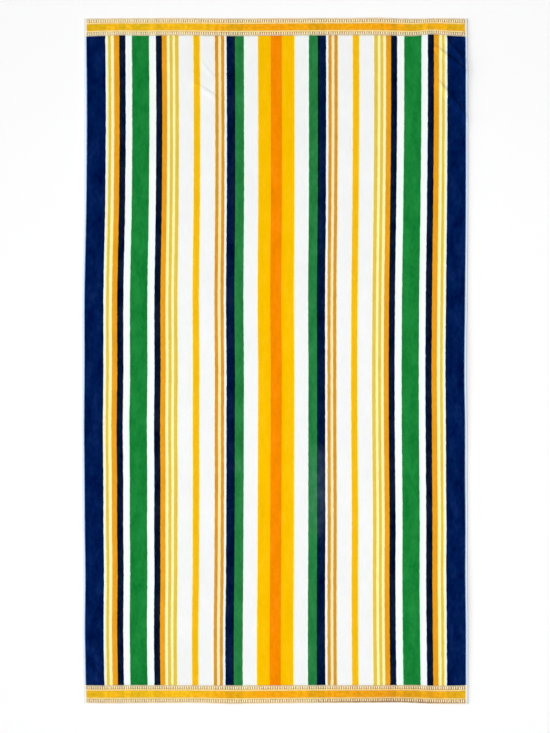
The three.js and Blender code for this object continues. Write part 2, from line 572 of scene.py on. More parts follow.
    def lay(self, across: np.ndarray, along: np.ndarray, rise: np.ndarray) -> np.ndarray:
        """Points in the part's frame for places on or above the cloth.

        Args:
            across: Places across the cloth.
            along: Places along the cloth.
            rise: Heights above the underside.

        Returns:
            Points in metres, one row for each place.
        """
        held_across = np.clip(across, 0, self.width)
        held_along = np.clip(along, 0, self.length)
        flat = self.spread(held_across, held_along) + self.centring
        flat[:, 0] += across - held_across
        flat[:, 1] -= along - held_along
        z = self.underside(held_across, held_along) + rise
        return np.column_stack([flat, z]) * METRES


CLOTH = LyingCloth()


class Graph:
    """A node tree, with a short call for each kind of node that the finishes use."""

    def __init__(self, tree: NodeTree) -> None:
        """Start from an empty tree."""
        tree.nodes.clear()
        self.tree = tree

    def feed(self, socket: NodeSocket, value: Value) -> None:
        """Link a value that comes from another node, or set a plain one.

        Args:
            socket: The input to feed.
            value: Another node's output, a number or a tuple.
        """
        if isinstance(value, NodeSocket):
            self.tree.links.new(value, socket)
        else:
            socket.default_value = value

    def node(self, kind: str, feeds: Feeds | None = None, settings: Settings | None = None) -> Node:
        """Add a node.

        Args:
            kind: Blender's name for the kind of node.
            feeds: What goes into its inputs, by name or number.
            settings: Its own settings.

        Returns:
            The node.
        """
        node = self.tree.nodes.new(kind)
        for name, setting in (settings or {}).items():
            setattr(node, name, setting)
        for key, value in (feeds or {}).items():
            self.feed(node.inputs[key], value)
        return node

    def use(self, group: NodeTree, feeds: Feeds | None = None) -> Node:
        """Place a node group."""
        return self.node("ShaderNodeGroup", feeds, {"node_tree": group})

    def math(self, operation: str, first: Value, second: Value = 0.0) -> NodeSocket:
        """Work out one number from one or two."""
        return self.node("ShaderNodeMath", {0: first, 1: second}, {"operation": operation}).outputs[0]

    def times(self, first: Value, second: Value) -> NodeSocket:
        """Multiply two numbers."""
        return self.math("MULTIPLY", first, second)

    def total(self, *parts: Value) -> NodeSocket:
        """Add numbers up, in their order."""
        return reduce(partial(self.math, "ADD"), parts)

    def between(self, share: Value, low: float, high: float) -> NodeSocket:
        """A number that goes from low to high with a share."""
        return self.total(self.times(share, high - low), low)

    def swing(self, share: Value, size: Value) -> NodeSocket:
        """Turn a share from 0 to 1 into a swing to either side of zero, size from end to end."""
        return self.times(self.math("SUBTRACT", share, HALF), size)

    def vector(self, operation: str, first: Value, second: Value) -> NodeSocket:
        """Work out one vector or colour from two."""
        feeds = {0: first, 1: second}
        return self.node("ShaderNodeVectorMath", feeds, {"operation": operation}).outputs[0]

    def dot(self, first: Value, second: Value) -> NodeSocket:
        """Dot product of two vectors."""
        feeds = {0: first, 1: second}
        return self.node("ShaderNodeVectorMath", feeds, {"operation": "DOT_PRODUCT"}).outputs["Value"]

    def length(self, vector: Value) -> NodeSocket:
        """Length of a vector."""
        return self.node("ShaderNodeVectorMath", {0: vector}, {"operation": "LENGTH"}).outputs["Value"]

    def axes(self, vector: Value) -> Sequence[NodeSocket]:
        """A vector's three numbers."""
        return self.node("ShaderNodeSeparateXYZ", {0: vector}).outputs

    def stretched(self, place: Value, per_mm: tuple[float, float]) -> NodeSocket:
        """Scale a place by its own measure across and along."""
        return self.vector("MULTIPLY", place, (*per_mm, 1.0))

    def noise(self, place: Value, grain: Grain) -> NodeSocket:
        """Soft uneven noise over the cloth, from 0 to 1."""
        feeds = {"Vector": self.stretched(place, grain.per_mm), "Scale": 1.0, "Detail": grain.detail}
        return self.node("ShaderNodeTexNoise", feeds, {"noise_dimensions": "2D"}).outputs[0]

    def uneven(self, place: Value, grain: Grain) -> NodeSocket:
        """The same noise as a swing to either side of zero."""
        return self.swing(self.noise(place, grain), grain.size)

    def gamma(self, colour: Value, power: float) -> NodeSocket:
        """Bend a colour by a power."""
        return self.node("ShaderNodeGamma", {0: colour, 1: power}).outputs[0]

    def dye_strength(self, colour: Value) -> NodeSocket:
        """How far a colour is from grey."""
        parts = self.node("ShaderNodeSeparateColor", {0: colour}, {"mode": "HSV"}).outputs
        return self.times(parts[1], parts[2])

    def mix(self, share: Value, first: Value, second: Value, blend: str = "MIX") -> NodeSocket:
        """Blend a share of the second colour into the first, in Blender's way of that name."""
        feeds = {MIX_SHARE: share, MIX_FIRST: first, MIX_SECOND: second}
        return self.node("ShaderNodeMix", feeds, COLOUR_MIX | {"blend_type": blend}).outputs[MIX_BLEND]

    def shaded(self, colour: Value, shade: Value) -> NodeSocket:
        """Make a colour lighter or darker by a factor."""
        feeds = {0: colour, "Scale": shade}
        return self.node("ShaderNodeVectorMath", feeds, {"operation": "SCALE"}).outputs[0]

    def bands(
        self, reading: Value, span: float, stops: Sequence[tuple[float, Yarn]], passing: str
    ) -> NodeSocket:
        """Colour a reading in bands of yarn, each from its own start to the next one's.

        Args:
            reading: The reading.
            span: The reading at which the chart ends.
            stops: Where each band starts, and its yarn.
            passing: Blender's name for how one band passes into the next.

        Returns:
            The colour.
        """
        node = self.node("ShaderNodeValToRGB", {0: self.math("DIVIDE", reading, span)})
        chart = node.color_ramp
        chart.interpolation = passing
        while len(chart.elements) < len(stops):
            chart.elements.new(1.0)
        for element, (start, yarn) in zip(chart.elements, stops):
            element.position = start / span
            element.color = yarn.colour
        return node.outputs[0]


class GroupGraph(Graph):
    """A node group that is being built, with its named inputs and outputs."""

    def __init__(self, name: str, takes: dict[str, SocketKind], gives: dict[str, SocketKind]) -> None:
        """Start an empty group.

        Args:
            name: The group's name.
            takes: Its inputs.
            gives: Its outputs.
        """
        super().__init__(bpy.data.node_groups.new(name, "ShaderNodeTree"))
        for side, sockets in {"INPUT": takes, "OUTPUT": gives}.items():
            for label, kind in sockets.items():
                self.tree.interface.new_socket(label, in_out=side, socket_type=kind.value)
        self.takes = self.node("NodeGroupInput").outputs

    def finished(self, **gives: Value) -> NodeTree:
        """Feed the group's outputs, named with _ for each space, and hand the group over."""
        self.node("NodeGroupOutput", {label.replace("_", " "): value for label, value in gives.items()})
        return self.tree


# Inputs and outputs that the groups share
PLACE = {"Place": SocketKind.VECTOR}
INWARD = {"Inward": SocketKind.NUMBER}
COLOUR = {"Color": SocketKind.COLOUR}
RELIEF = {"Shade": SocketKind.NUMBER, "Height": SocketKind.NUMBER}


@cache
def cloth_place() -> NodeTree:
    """Make the group that reads where on the flat cloth a point is.

    Returns:
        The group.
    """
    graph = GroupGraph("cloth place", {}, PLACE | INWARD | {"From End": SocketKind.NUMBER})
    chart = graph.axes(graph.node("ShaderNodeUVMap", settings={"uv_map": CLOTH_MAP}).outputs[0])
    across = graph.math("DIVIDE", chart[0], METRES)
    along = graph.math("DIVIDE", chart[1], METRES)
    inward = graph.math("MINIMUM", across, graph.math("SUBTRACT", CLOTH.width, across))
    from_end = graph.math("MINIMUM", along, graph.math("SUBTRACT", CLOTH.length, along))
    place = graph.node("ShaderNodeCombineXYZ", {0: across, 1: along}).outputs[0]
    return graph.finished(Place=place, Inward=inward, From_End=from_end)


@cache
def stripe_chart() -> NodeTree:
    """Make the group that gives the yarn at a reading inwards, one stripe after another.

    Returns:
        The group.
    """
    graph = GroupGraph("stripe chart", INWARD, COLOUR)
    colour = HALF_STRIPES[0].yarn.colour
    start = 0.0
    for before, stripe in zip(HALF_STRIPES, HALF_STRIPES[1:]):
        start += before.width
        past = graph.math("GREATER_THAN", graph.takes["Inward"], start)
        colour = graph.mix(past, colour, stripe.yarn.colour)
    return graph.finished(Color=colour)


@cache
def stripe_yarns() -> NodeTree:
    """Make the group that colours a place by its stripe, with loose edges where the dyes bleed a little.

    The lightness is the stripe's own, and the hue leans to the stronger dyes in the places beside it.

    Returns:
        The group.
    """
    graph = GroupGraph("stripe yarns", PLACE | INWARD, COLOUR)
    place = graph.takes["Place"]
    loose = graph.total(graph.uneven(place, EDGE_SWAY), graph.uneven(place, EDGE_TUFTS))
    reading = graph.total(graph.takes["Inward"], loose)
    shown = []
    for reach in (0.0, -DYE_BLEED, DYE_BLEED):
        dyed = graph.use(stripe_chart(), {"Inward": graph.total(reading, reach)})
        shown.append(graph.gamma(dyed.outputs[0], 1 / EYE_GAMMA))
    own = shown[0]
    shared = own
    for beside in shown[1:]:
        stronger = graph.math("GREATER_THAN", graph.dye_strength(beside), graph.dye_strength(own))
        shared = graph.mix(graph.between(stronger, WEAK_BLEED, STRONG_BLEED), shared, beside)
    lift = graph.math("DIVIDE", graph.dot(own, EYE_WEIGHTS), graph.dot(shared, EYE_WEIGHTS))
    bled = graph.vector("MINIMUM", graph.shaded(shared, lift), MOST_LIGHT)
    return graph.finished(Color=graph.gamma(bled, EYE_GAMMA))


@cache
def pile_nap() -> NodeTree:
    """Make the group for sheared pile: brushed patches, warp streaks and single tufts.

    Returns:
        The group.
    """
    graph = GroupGraph("pile nap", PLACE, RELIEF | {"Brushed": SocketKind.NUMBER})
    place = graph.takes["Place"]
    brushed = graph.total(graph.uneven(place, BRUSH_MARKS), graph.uneven(place, BRUSH_SWATHES))
    streaks = graph.noise(place, WARP_STREAKS)
    tufts = graph.noise(place, PILE_TUFTS)
    shade = graph.total(
        1.0,
        graph.uneven(place, NAP_PATCHES),
        graph.swing(streaks, WARP_STREAKS.size),
        graph.swing(tufts, PILE_TUFTS.size),
    )
    height = graph.total(graph.times(tufts, TUFT_SHARE), graph.times(streaks, 1 - TUFT_SHARE))
    return graph.finished(Shade=shade, Brushed=brushed, Height=height)


@cache
def plain_weave() -> NodeTree:
    """Make the group for flat-woven cloth: one yarn over, one under.

    Returns:
        The group.
    """
    graph = GroupGraph("plain weave", PLACE | {"Pitch": SocketKind.NUMBER}, RELIEF)
    place = graph.takes["Place"]
    turn = graph.math("DIVIDE", math.pi, graph.takes["Pitch"])
    warp, weft = (graph.math("SINE", graph.times(axis, turn)) for axis in graph.axes(place)[:2])
    over = graph.total(graph.times(graph.times(warp, weft), HALF), HALF)
    slubs = graph.noise(place, WEAVE_SLUBS)
    uneven = graph.total(graph.swing(over, WEAVE_SHADE), graph.swing(slubs, WEAVE_SLUBS.size))
    height = graph.total(over, graph.swing(slubs, SLUB_RELIEF))
    return graph.finished(Shade=graph.total(1.0, uneven), Height=height)


@cache
def yarn_twist() -> NodeTree:
    """Make the group for a floating yarn: the slant of its plies, and how each float takes the light.

    Returns:
        The group.
    """
    graph = GroupGraph("yarn twist", PLACE, RELIEF)
    spot = graph.node("ShaderNodeTexCoord").outputs["Object"]
    feeds = {"Vector": spot, "Scale": PLY_FINENESS, "Distortion": PLY_WAVER, "Detail": 1.0}
    plies = graph.node("ShaderNodeTexWave", feeds, {"bands_direction": "DIAGONAL"}).outputs[1]
    sheen = graph.uneven(graph.takes["Place"], FLOAT_SHEEN)
    shade = graph.total(1.0, graph.total(graph.swing(plies, PLY_SHADE), sheen))
    return graph.finished(Shade=shade, Height=plies)


@cache
def terry_loops() -> NodeTree:
    """Make the group for the uncut loops of the back.

    Returns:
        The group.
    """
    graph = GroupGraph("terry loops", PLACE, RELIEF)
    feeds = {"Vector": graph.stretched(graph.takes["Place"], LOOPS_PER_MM), "Scale": 1.0}
    loops = graph.node("ShaderNodeTexVoronoi", feeds, {"voronoi_dimensions": "2D"}).outputs[0]
    height = graph.math("SUBTRACT", 1.0, loops)
    shade = graph.total(LOOP_FOOT_SHADE, graph.times(height, LOOP_RISE_SHADE))
    return graph.finished(Shade=shade, Height=height)


class ClothGraph(Graph):
    """The tree of a cotton finish, which knows its place on the flat cloth."""

    def __init__(self, tree: NodeTree) -> None:
        """Start from an empty tree and chart the cloth in it.

        Args:
            tree: The material's tree.
        """
        super().__init__(tree)
        chart = self.use(cloth_place()).outputs
        self.spot = chart["Place"]
        self.inward = chart["Inward"]
        self.from_end = chart["From End"]

    def stripes(self) -> NodeSocket:
        """Colour of the warp's stripe at each place."""
        return self.use(stripe_yarns(), {"Place": self.spot, "Inward": self.inward}).outputs[0]

    def patch(self, patch: Patch) -> NodeSocket:
        """How strong a soft, uneven patch is at each place.

        Args:
            patch: The patch.

        Returns:
            A share from 0 to 1.
        """
        off = self.vector("SUBTRACT", self.spot, (patch.across, patch.along, 0.0))
        reach = self.length(self.stretched(off, (1 / patch.half_width, 1 / patch.half_length)))
        within = self.math("SQRT", self.math("MAXIMUM", self.math("SUBTRACT", 1.0, reach), 0.0))
        return self.times(within, self.times(self.noise(self.spot, PATCH_GRAIN), patch.strength / HALF))

    def marked(self, colour: Value, patches: Sequence[Patch]) -> Value:
        """Lean a colour to each patch's own where the patches lie.

        Args:
            colour: The colour.
            patches: The patches.

        Returns:
            The colour after them.
        """
        for patch in patches:
            colour = self.mix(self.patch(patch), colour, patch.yarn.colour)
        return colour


@dataclass(frozen=True)
class Finish:
    """A cotton finish: how rough it is, how its fibres glow at a slant, and its relief in metres."""

    name: str
    roughness: float = 0.92
    sheen: float = 0.02
    sheen_roughness: float = 0.5
    specular: float = 0.0
    relief: float = 0.0005
    relief_strength: float = 0.6

    def surface(self, graph: ClothGraph) -> tuple[Value, Value]:
        """Colour and relief height of the finish."""
        raise NotImplementedError

    def material(self) -> Material:
        """The finish's material, made on its first use.

        Returns:
            The material.
        """
        made = bpy.data.materials.get(self.name)
        if made is not None:
            return made
        material = bpy.data.materials.new(self.name)
        material.use_nodes = True
        graph = ClothGraph(material.node_tree)
        colour, height = self.surface(graph)
        bump = {"Strength": self.relief_strength, "Distance": self.relief, "Height": height}
        feeds = {
            "Base Color": colour,
            "Roughness": self.roughness,
            "Specular IOR Level": self.specular,
            "Sheen Weight": self.sheen,
            "Sheen Roughness": self.sheen_roughness,
            "Normal": graph.node("ShaderNodeBump", bump).outputs[0],
        }
        shader = graph.node("ShaderNodeBsdfPrincipled", feeds)
        graph.node("ShaderNodeOutputMaterial", {"Surface": shader.outputs[0]})
        return material


@dataclass(frozen=True)
class VelourFace(Finish):
    """Sheared pile in the stripes of the warp, with brush marks that show most on dark yarn, a painted
    sheen on the marks, and painted light and shade on slopes.
    """

    name: str = "velour_face"
    brushing: float = 0.85
    brushing_on_white: float = 0.015
    # A painted sheen: grey added where the brush marks are
    painted_brush_sheen: float = 0.010
    least_shade: float = 0.2

    # Painted light and shade on slopes: a slope that faces this way, towards the low key light, is
    # painted lighter, and one facing away darker, by this much
    lean: tuple[float, float, float] = (-0.85, -0.5, 0.0)
    painted_slope_shade: float = 0.48
    rubbings: tuple[Patch, ...] = (
        Patch(Yarn.RUBBED, 608, 1226, half_width=36, half_length=128, strength=0.036),
        Patch(Yarn.RUBBED, 402, 1164, half_width=11, half_length=20, strength=0.03),
    )

    def surface(self, graph: ClothGraph) -> tuple[Value, Value]:
        """Colour and relief height of the sheared pile.

        Args:
            graph: The material's tree.

        Returns:
            The colour's socket and the height's socket.
        """
        stripes = graph.stripes()
        nap = graph.use(pile_nap(), {"Place": graph.spot}).outputs
        light = graph.node("ShaderNodeRGBToBW", {0: stripes}).outputs[0]
        shows = graph.times(graph.math("POWER", self.brushing_on_white, light), self.brushing)
        # Painted light and shade on slopes, by how far each faces the low key light
        facing = graph.node("ShaderNodeNewGeometry").outputs["Normal"]
        painted_slope_light = graph.times(graph.dot(facing, self.lean), self.painted_slope_shade)
        brush_marks_and_slope_light = graph.times(graph.total(nap["Brushed"], painted_slope_light), shows)
        shade = graph.math("MAXIMUM", graph.total(nap["Shade"], brush_marks_and_slope_light), self.least_shade)
        # Painted sheen: grey light added on the brush marks
        painted_brush_sheen = graph.times(nap["Brushed"], self.painted_brush_sheen)
        colour = graph.vector("ADD", graph.shaded(stripes, shade), painted_brush_sheen)
        colour = graph.vector("MAXIMUM", colour, NO_LIGHT)
        return graph.marked(colour, self.rubbings), nap["Height"]


@dataclass(frozen=True)
class TerryBack(Finish):
    """Uncut loops of the back, in paler stripes."""

    name: str = "terry_back"
    relief: float = 0.0012
    relief_strength: float = 0.9
    paler: float = 0.25

    def surface(self, graph: ClothGraph) -> tuple[Value, Value]:
        """Colour and relief height of the loops.

        Args:
            graph: The material's tree.

        Returns:
            The colour's socket and the height's socket.
        """
        loops = graph.use(terry_loops(), {"Place": graph.spot}).outputs
        colour = graph.mix(self.paler, graph.stripes(), Yarn.WHITE.colour)
        return graph.shaded(colour, loops["Shade"]), loops["Height"]


@dataclass(frozen=True)
class WovenBorder(Finish):
    """Flat-woven ground of an end border, in bands read in from the hem."""

    name: str = "woven_border"
    pitch: float = 0.9
    chart_depth: float = 60.0
    bands: tuple[tuple[float, Yarn], ...] = (
        (0.0, Yarn.HEM),
        # Painted shade along the hem's fold
        (1.9, Yarn.HEM_FOLD_SHADE),
        (4.3, Yarn.TICK_GROUND),
        (10.2, Yarn.PALE),
        (14.1, Yarn.GOLD_GROUND),
        (14.8, Yarn.MARIGOLD),
        (30.3, Yarn.GOLD_GROUND),
        (31.0, Yarn.PALE),
        (35.1, Yarn.INNER_GROUND),
        (41.1, Yarn.PILE_FOOT),
    )
    inner_start: float = 35.1
    warp_show: float = 0.12
    warp_show_inner: float = 0.25
    # Painted shade and a painted shadow line on the bottom border, a darker line of tick ground, and
    # faded ticks at the top
    marks: tuple[Patch, ...] = PAINTED_HEM_SHADE + PAINTED_FOLD_SHADOW + HEM_LINE + FADED_HEM

    def surface(self, graph: ClothGraph) -> tuple[Value, Value]:
        """Colour and relief height of the ground, with the stripes' warp showing through.

        Args:
            graph: The material's tree.

        Returns:
            The colour's socket and the height's socket.
        """
        weave = graph.use(plain_weave(), {"Place": graph.spot, "Pitch": self.pitch}).outputs
        bands = graph.bands(graph.from_end, self.chart_depth, self.bands, "CONSTANT")
        inner = graph.math("GREATER_THAN", graph.from_end, self.inner_start)
        show = graph.between(inner, self.warp_show, self.warp_show_inner)
        # Leans the ground to the marks, painted shade and a painted shadow line among them
        colour = graph.marked(graph.mix(show, bands, graph.stripes(), "MULTIPLY"), self.marks)
        return graph.shaded(colour, weave["Shade"]), weave["Height"]


@dataclass(frozen=True)
class WovenSelvedge(Finish):
    """Flat-woven selvedge, a cool white, with painted grey shade along its rim where the edge curves
    down, a blue inner edge and cream ends.
    """

    name: str = "woven_selvedge"
    pitch: float = 0.8
    rim_width: float = 1.6
    inner_start: float = 4.8
    yarn: Yarn = Yarn.SELVEDGE
    # Painted shade along the rim, where the edge curves down
    painted_rim_shade: Yarn = Yarn.SELVEDGE_RIM_SHADE
    inner_yarn: Yarn = Yarn.SELVEDGE_INNER
    end_yarn: Yarn = Yarn.SELVEDGE_CREAM

    def surface(self, graph: ClothGraph) -> tuple[Value, Value]:
        """Colour and relief height of the selvedge.

        Args:
            graph: The material's tree.

        Returns:
            The colour's socket and the height's socket.
        """
        weave = graph.use(plain_weave(), {"Place": graph.spot, "Pitch": self.pitch}).outputs
        at_end = graph.math("LESS_THAN", graph.from_end, CLOTH.border_depth)
        at_rim = graph.math("LESS_THAN", graph.inward, self.rim_width)
        at_pile = graph.math("GREATER_THAN", graph.inward, self.inner_start)
        colour = graph.mix(at_pile, self.yarn.colour, self.inner_yarn.colour)
        colour = graph.mix(at_end, colour, self.end_yarn.colour)
        # Painted shade along the rim
        colour = graph.mix(at_rim, colour, self.painted_rim_shade.colour)
        return graph.shaded(colour, weave["Shade"]), weave["Height"]


def one_dye(yarn: Yarn) -> tuple[tuple[float, Yarn], ...]:
    """Dyes of a yarn that is the same from side to side."""
    return ((0.0, yarn), (CLOTH.width, yarn))


@dataclass(frozen=True)
class FloatYarn(Finish):
    """A yarn that floats over the weave, with some of the stripe beneath it showing."""

    dyes: tuple[tuple[float, Yarn], ...] = one_dye(Yarn.CREAM)
    dye_drift: Grain = Grain(0.012, 0.03, size=160.0, detail=2.0)
    warp_show: float = 0.0
    warp_show_from: float = 0.0
    wear: Grain = Grain(0.10, 0.14, detail=3.0)
    mottle: float = 0.0
    # Painted shade on the right half of the bottom border
    marks: tuple[Patch, ...] = PAINTED_HEM_SHADE
    relief: float = 0.0002

    def surface(self, graph: ClothGraph) -> tuple[Value, Value]:
        """Colour and relief height of the yarn.

        Args:
            graph: The material's tree.

        Returns:
            The colour's socket and the height's socket.
        """
        twist = graph.use(yarn_twist(), {"Place": graph.spot}).outputs
        reading = graph.total(graph.axes(graph.spot)[0], graph.uneven(graph.spot, self.dye_drift))
        dyed = graph.bands(reading, CLOTH.width, self.dyes, "LINEAR")
        shows = graph.math("GREATER_THAN", graph.from_end, self.warp_show_from)
        show = graph.times(shows, self.warp_show)
        # Leans the yarn to its marks, painted shade on the bottom border among them
        colour = graph.marked(graph.mix(show, dyed, graph.stripes(), "MULTIPLY"), self.marks)
        worn = graph.swing(graph.noise(graph.spot, self.wear), self.mottle)
        return graph.shaded(colour, graph.total(twist["Shade"], worn)), twist["Height"]


VELOUR = VelourFace()
BACK = TerryBack()
BORDER = WovenBorder()
EDGE = WovenSelvedge()
TICK_YARN = FloatYarn("tick_yarn", warp_show=0.1, warp_show_from=30.0, mottle=0.2)
GOLD_YARN = FloatYarn(
    "gold_yarn",
    dyes=(
        (0.0, Yarn.WELD),
        (240.0, Yarn.WELD),
        (440.0, Yarn.MARIGOLD),
        (800.0, Yarn.MARIGOLD),
        (1000.0, Yarn.WELD),
    ),
    warp_show=0.18,
    mottle=1.0,
)
PALE_YARN = FloatYarn("pale_yarn", dyes=one_dye(Yarn.PALE), mottle=0.3)
STITCH_THREAD = FloatYarn("stitch_thread", dyes=one_dye(Yarn.THREAD))


def make_piece(
    name: str,
    points: np.ndarray,
    faces: Faces,
    places: np.ndarray,
    finishes: Sequence[Finish],
    slots: np.ndarray | None = None,
) -> Object:
    """Make a piece of the towel that rides on its body.

    Args:
        name: The piece's name.
        points: Its points, in metres.
        faces: Its faces, as point numbers.
        places: The place on the flat cloth that each point is coloured by.
        finishes: Its finishes.
        slots: Which finish each face has, if there are several.

    Returns:
        The piece.
    """
    mesh = bpy.data.meshes.new(name)
    mesh.from_pydata(points.tolist(), [], faces)
    corners = np.empty(len(mesh.loops), np.int32)
    mesh.loops.foreach_get("vertex_index", corners)
    chart = mesh.uv_layers.new(name=CLOTH_MAP)
    chart.data.foreach_set("uv", (places[corners] * METRES).astype(np.float32).ravel())
    mesh.polygons.foreach_set("use_smooth", np.ones(len(mesh.polygons), bool))
    for finish in finishes:
        mesh.materials.append(finish.material())
    if slots is not None:
        mesh.polygons.foreach_set("material_index", slots.astype(np.int32))
    mesh.update()
    piece = bpy.data.objects.new(name, mesh)
    bpy.context.scene.collection.objects.link(piece)
    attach(piece, BODY)
    return piece


@dataclass
class TowelSheet:
    """The cloth itself: one closed sheet with its pile, borders, selvedges, creases and hems."""

    name: str = "towel_cloth"
    finishes: tuple[Finish, ...] = (VELOUR, BORDER, EDGE, BACK)
    open_step: float = 15.0
    edge_step: float = 1.5

    # Where creases run, from and to, and the step between grid lines there
    crease_columns: Chart = ((9.0, 63.0, 3.0), (278.0, 370.0, 3.5), (897.0, 991.0, 2.0))
    crease_rows: Chart = ((50.0, 286.0, 2.0), (1598.0, 1732.0, 3.5))
    edge_columns: float = 9.0
    edge_rows: float = 50.0

    # How far the rim bulges, away from places this far in from it
    rim_bulge: float = 0.5
    rim_depth: float = 4.0

    # Swells of the pile: waves to a millimetre across and along, and turn. They grow in from its edge
    swells: Chart = ((0.0031, 0.0046, 0.3), (-0.0052, 0.0023, 1.7), (0.0017, -0.0071, 4.1))
    swell_height: float = 0.22
    swell_start: float = 8.0
    swell_growth: float = 60.0

    def lines(self, length: float, edge: float, creased: Chart) -> np.ndarray:
        """Grid lines over one side of the cloth, closer at its edges and creases.

        Args:
            length: The side's length.
            edge: How far in from each end the closest lines reach.
            creased: Where creases run, from and to, and the step there.

        Returns:
            The lines' places.
        """
        turns = [mark for low, high, _ in creased for mark in (low, high)]
        marks = sorted({0.0, edge, length - edge, length, *turns})
        lines = [marks[:1]]
        for start, stop in zip(marks, marks[1:]):
            middle = (start + stop) / 2
            steps = [step for low, high, step in creased if low < middle < high] or [self.open_step]
            step = self.edge_step if min(middle, length - middle) < edge else steps[0]
            parts = max(1, round((stop - start) / step))
            lines.append(np.linspace(start, stop, parts + 1)[1:])
        return np.concatenate(lines)

    def pile_swell(self, across: np.ndarray, along: np.ndarray) -> np.ndarray:
        """Slight swells of the pile, none at the edges.

        Args:
            across: Places across the cloth.
            along: Places along the cloth.

        Returns:
            Heights.
        """
        waves = [np.sin(2 * math.pi * (a * across + b * along) + turn) for a, b, turn in self.swells]
        inward = np.minimum(CLOTH.from_side(across), CLOTH.from_end(along) - CLOTH.border_depth)
        growth = smooth_step((inward - self.swell_start) / self.swell_growth)
        return self.swell_height * np.sum(waves, axis=0) * growth

    def facings(self, middles: np.ndarray, inner: Facing) -> np.ndarray:
        """Which finish each face has, by where on the cloth its middle is.

        Args:
            middles: The faces' middles, across and along.
            inner: The finish of faces in neither a border nor a selvedge.

        Returns:
            Numbers of the finishes.
        """
        facings = np.full(len(middles), int(inner))
        in_border = CLOTH.from_end(middles[:, 1]) < CLOTH.border_depth
        facings[in_border] = Facing.BORDER
        selvedge = np.where(in_border, CLOTH.selvedge_at_border, CLOTH.selvedge_width)
        facings[CLOTH.from_side(middles[:, 0]) < selvedge] = Facing.SELVEDGE
        return facings

    def build(self) -> Object:
        """Make the sheet: its upper side, its underside, and a rim of two belts between them.

        Returns:
            The piece.
        """
        columns = self.lines(CLOTH.width, self.edge_columns, self.crease_columns)
        rows = self.lines(CLOTH.length, self.edge_rows, self.crease_rows)
        along, across = (side.ravel() for side in np.meshgrid(rows, columns, indexing="ij"))
        flat = np.column_stack([across, along])
        thickness = CLOTH.thickness(across, along) + self.pile_swell(across, along)
        upper = CLOTH.lay(across, along, thickness)
        lower = CLOTH.lay(across, along, 0 * thickness)

        under = len(flat)
        grid = np.arange(under).reshape(len(rows), len(columns))
        cells = np.stack([grid[:-1, :-1], grid[1:, :-1], grid[1:, 1:], grid[:-1, 1:]], axis=-1)
        cells = cells.reshape(-1, 4)
        rim = np.concatenate([grid[:, 0], grid[-1, 1:], grid[::-1, -1][1:], grid[0, ::-1][1:-1]])
        inmost = np.array([CLOTH.width, CLOTH.length]) - self.rim_depth
        out = flat[rim] - np.clip(flat[rim], self.rim_depth, inmost)
        out = out / np.linalg.norm(out, axis=1, keepdims=True) * self.rim_bulge
        middle = CLOTH.lay(*(flat[rim] + out).T, thickness[rim] / 2)

        belt = 2 * under + np.arange(len(rim))
        rim_after = np.roll(rim, -1)
        belt_after = np.roll(belt, -1)
        upper_wall = np.stack([rim, belt, belt_after, rim_after], axis=1)
        lower_wall = np.stack([belt, rim + under, rim_after + under, belt_after], axis=1)
        faces = np.concatenate([cells, cells[:, ::-1] + under, upper_wall, lower_wall])
        points = np.concatenate([upper, lower, middle])
        places = np.concatenate([flat, flat, flat[rim]])

        middles = flat[cells].mean(axis=1)
        walls = np.tile(flat[rim], (2, 1))
        sides = ((middles, Facing.PILE), (middles, Facing.BACK), (walls, Facing.SELVEDGE))
        slots = np.concatenate([self.facings(*side) for side in sides])
        sheet = make_piece(self.name, points, faces.tolist(), places, self.finishes, slots)
        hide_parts(NODE)
        return sheet


@dataclass(frozen=True)
class Loaf:
    """A closed half-round bar, the shape of a yarn that floats, or of a tuft."""

    width: float
    length: float
    height: float
    shares: tuple[float, ...]
    swells: tuple[float, ...]
    arc: int = 4
    runs_across: bool = False

    @classmethod
    def cord(cls, width: float, length: float, height: float, stations: int) -> Loaf:
        """An even cord that runs across, with so many stations to follow the cloth by."""
        shares = tuple(np.linspace(-1, 1, stations))
        return cls(width, length, height, shares, (1.0,) * stations, runs_across=True)

    def mould(self) -> tuple[np.ndarray, Faces]:
        """One bar about its own middle.

        Returns:
            Its points as across, along and rise, and its faces.
        """
        turns = np.linspace(0, math.pi, self.arc + 1)
        rings = []
        for share, swell in zip(self.shares, self.swells):
            side = swell * self.width / 2 * np.cos(turns)
            rise = swell * self.height * np.sin(turns)
            rings.append(np.column_stack([side, np.full_like(side, share * self.length / 2), rise]))
        points = np.concatenate(rings)
        ring = self.arc + 1
        last = ring * (len(rings) - 1)
        faces: Faces = []
        for first in range(0, last, ring):
            for k in range(ring):
                after = (k + 1) % ring
                faces.append((first + k, first + after, first + ring + after, first + ring + k))
        faces.append(tuple(reversed(range(ring))))
        faces.append(tuple(range(last, last + ring)))
        if self.runs_across:
            points = points[:, [1, 0, 2]]
            faces = [face[::-1] for face in faces]
        return points, faces


